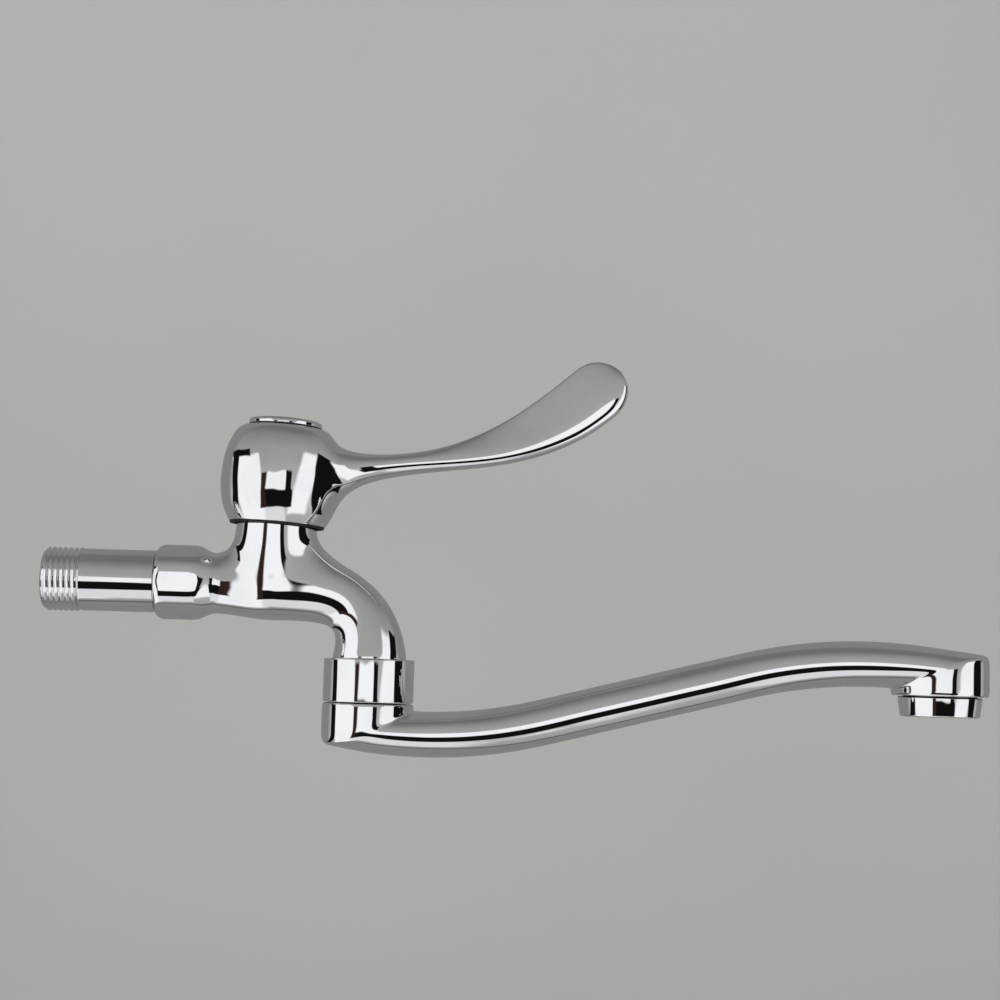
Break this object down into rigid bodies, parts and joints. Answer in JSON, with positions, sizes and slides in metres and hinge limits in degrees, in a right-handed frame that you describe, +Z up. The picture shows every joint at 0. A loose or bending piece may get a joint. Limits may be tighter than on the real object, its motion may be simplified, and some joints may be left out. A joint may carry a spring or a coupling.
{
  "type": "wall tap with swing spout",
  "caption": "Chromed wall tap with a bell-shaped lever handle on a leaning neck, a curved tail with a swivel nut, and a long S-shaped swing spout ending in an aerator.",
  "frame": {"origin": "on the inlet's axis, where the half-inch pipe thread ends and the plain pipe begins", "axes": "+X out of the wall along the inlet, +Z up; the lever and the spout lie in the XZ plane at rest"},
  "size_m": [0.3115, 0.0398, 0.1326],
  "materials": {
    "chrome_pipe": "bright chrome plating on a turned brass nipple",
    "chrome_casting": "bright chrome plating on polished cast brass",
    "chrome_handle": "bright chrome plating on a polished casting",
    "chrome_cap": "bright chrome plating",
    "chrome_turned": "bright chrome plating on turned brass",
    "bare_brass": "machined brass",
    "spring_steel": "stainless steel",
    "disc_ceramic": "lapped ceramic",
    "white_plastic": "moulded plastic",
    "black_rubber": "moulded rubber",
    "fibre_gasket": "pressed fibre"
  },
  "bodies": {
    "body": {"inlet_nipple": "chrome_pipe", "nipple_gasket": "fibre_gasket", "tap_body": "chrome_casting", "cartridge_housing": "bare_brass", "housing_gasket": "black_rubber", "seat_gasket": "black_rubber", "fixed_disc": "disc_ceramic", "slip_washer": "white_plastic", "swivel_nut": "chrome_turned", "swivel_washer": "white_plastic"},
    "handle": {"rotating_disc": "disc_ceramic", "spindle": "bare_brass", "spindle_orings": "black_rubber", "spindle_clip": "spring_steel", "handle": "chrome_handle", "handle_screw": "spring_steel", "index_cap": "chrome_cap"},
    "spout": {"retaining_ring": "bare_brass", "spout_orings": "black_rubber", "spout": "chrome_casting", "aerator_housing": "chrome_turned", "aerator_washer": "black_rubber", "aerator_strainer": "spring_steel", "aerator_insert": "white_plastic", "aerator_mesh": "spring_steel"}
  },
  "joints": [
    {"name": "handle_turn", "type": "hinge", "parent": "body", "child": "handle", "pos_m": [0.0626, 0, 0], "axis": [0.0489, 0, 0.9988], "range_deg": [0, 90]},
    {"name": "spout_swivel", "type": "hinge", "parent": "body", "child": "spout", "pos_m": [0.0957, 0, 0], "axis": [0, 0, 1], "continuous": true}
  ]
}
